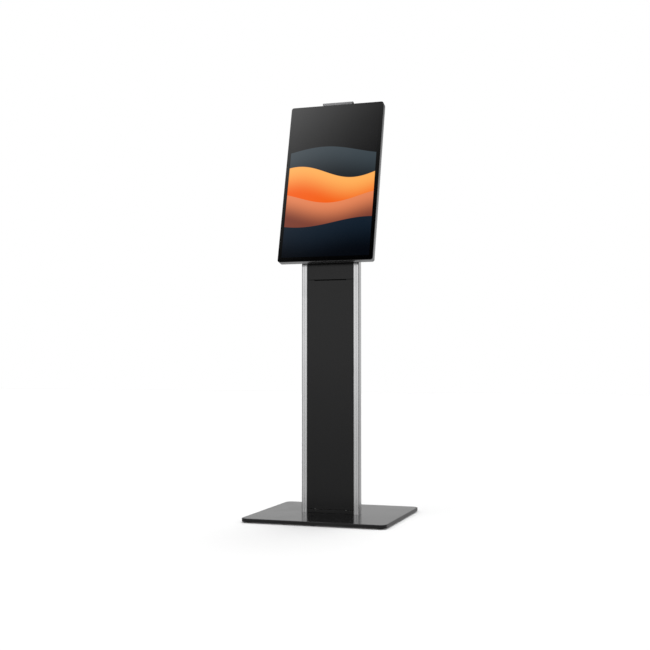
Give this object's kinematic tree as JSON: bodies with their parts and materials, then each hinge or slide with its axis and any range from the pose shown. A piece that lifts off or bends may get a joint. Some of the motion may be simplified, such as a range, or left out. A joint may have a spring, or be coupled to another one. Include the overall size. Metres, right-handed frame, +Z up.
{
  "type": "touchscreen kiosk",
  "caption": "Free-standing museum touchscreen kiosk: portrait touch display on a tilting head, slim two-post column with removable panels, flat rectangular floor plate.",
  "frame": {"origin": "on the floor under the middle of the rectangular floor plate", "axes": "+Z up, the screen faces -Y, +X is to the right of a person who stands facing the screen"},
  "size_m": [0.535, 0.495, 1.558],
  "materials": {
    "base_black": "satin-gloss black powder coat",
    "pad_rubber": "matte rubber",
    "frame_steel": "galvanised sheet steel",
    "zinc_steel": "zinc plated",
    "post_aluminium": "satin anodised, vertical brushing",
    "panel_black": "fine-textured black powder coat",
    "black_steel": "black oxide",
    "chrome_trim": "polished",
    "black_plastic": "moulded, fine grain",
    "perforated_steel": "bright sheet steel",
    "cable_jacket": "soft vinyl",
    "neck_steel": "satin black",
    "screen_glass": "gloss black cover glass with a lit picture",
    "gasket_rubber": "matte",
    "frame_aluminium": "satin anodised",
    "lcd_film": "smooth",
    "housing_black": "moulded, fine grain",
    "board_green": "solder mask",
    "sink_aluminium": "extruded",
    "port_steel": "stamped shells",
    "key_plastic": "moulded keys"
  },
  "bodies": {
    "stand": {"base_plate": "base_black", "base_pads": "pad_rubber", "column_foot": "frame_steel", "foot_bolts": "zinc_steel", "foot_nuts": "zinc_steel", "left_post": "post_aluminium", "right_post": "post_aluminium", "post_ties": "frame_steel", "tie_screws": "zinc_steel", "panel_magnets": "zinc_steel", "kick_strip": "panel_black", "upper_front_panel": "panel_black", "rear_lower_panel": "panel_black", "rear_upper_panel": "panel_black", "rear_screws": "black_steel", "hinge_fixed_leaves": "black_steel", "hinge_pins": "zinc_steel", "mains_inlet": "black_plastic", "power_supply": "perforated_steel", "supply_bracket": "frame_steel", "mains_lead": "cable_jacket", "display_lead": "cable_jacket", "lead_clips": "black_plastic", "lead_coupler": "black_plastic", "top_cap": "panel_black", "neck_mount_plate": "frame_steel", "left_neck_arm": "neck_steel", "right_neck_arm": "neck_steel", "neck_bolts": "zinc_steel", "neck_shroud": "black_plastic", "friction_washers": "zinc_steel", "pivot_bolts": "zinc_steel", "pivot_nuts": "zinc_steel"},
    "head": {"tilt_bracket": "neck_steel", "vesa_screws": "black_steel", "cover_glass": "screen_glass", "edge_gasket": "gasket_rubber", "mid_frame": "frame_aluminium", "lcd_panel": "lcd_film", "backlight_tray": "frame_steel", "rear_housing": "housing_black", "inner_chassis": "frame_steel", "housing_screws": "black_steel", "circuit_boards": "board_green", "heat_sink": "sink_aluminium", "io_ports": "port_steel", "speakers": "black_plastic", "top_bar": "frame_aluminium", "top_bar_ends": "black_plastic"},
    "door": {"rear_door": "panel_black", "hinge_door_leaves": "black_steel", "lock_barrel": "chrome_trim"},
    "lock_core": {"lock_plug": "chrome_trim", "lock_cam": "zinc_steel"},
    "front_cover": {"lower_front_panel": "panel_black"},
    "rocker": {"mains_rocker": "black_plastic"},
    "power_key": {"power_button": "key_plastic"},
    "menu_key": {"menu_button": "key_plastic"},
    "plus_key": {"plus_button": "key_plastic"},
    "minus_key": {"minus_button": "key_plastic"}
  },
  "joints": [
    {"name": "head_tilt", "type": "hinge", "parent": "stand", "child": "head", "pos_m": [0, 0.039, 1.2129], "axis": [-1, 0, 0], "range_deg": [-4, 12]},
    {"name": "rear_door_swing", "type": "hinge", "parent": "stand", "child": "door", "pos_m": [-0.106, 0.0052, 0.55], "axis": [0, 0, 1], "range_deg": [0, 110]},
    {"name": "lock_turn", "type": "hinge", "parent": "door", "child": "lock_core", "pos_m": [0.072, 0, 0.55], "axis": [0, -1, 0], "range_deg": [0, 90]},
    {"name": "front_cover_pull", "type": "slide", "parent": "stand", "child": "front_cover", "axis": [0, -1, 0], "range_m": [0, 0.06]},
    {"name": "mains_rocker_tilt", "type": "hinge", "parent": "stand", "child": "rocker", "pos_m": [0.059, 0.009, 0.09], "axis": [1, 0, 0], "range_deg": [0, 14]},
    {"name": "power_press", "type": "slide", "parent": "head", "child": "power_key", "axis": [0, -0.9681, 0.2504], "range_m": [0, 0.0012], "stiffness_N_per_m": 600, "springref_m": -0.0008},
    {"name": "menu_press", "type": "slide", "parent": "head", "child": "menu_key", "axis": [0, -0.9681, 0.2504], "range_m": [0, 0.0012], "stiffness_N_per_m": 600, "springref_m": -0.0008},
    {"name": "plus_press", "type": "slide", "parent": "head", "child": "plus_key", "axis": [0, -0.9681, 0.2504], "range_m": [0, 0.0012], "stiffness_N_per_m": 600, "springref_m": -0.0008},
    {"name": "minus_press", "type": "slide", "parent": "head", "child": "minus_key", "axis": [0, -0.9681, 0.2504], "range_m": [0, 0.0012], "stiffness_N_per_m": 600, "springref_m": -0.0008}
  ]
}
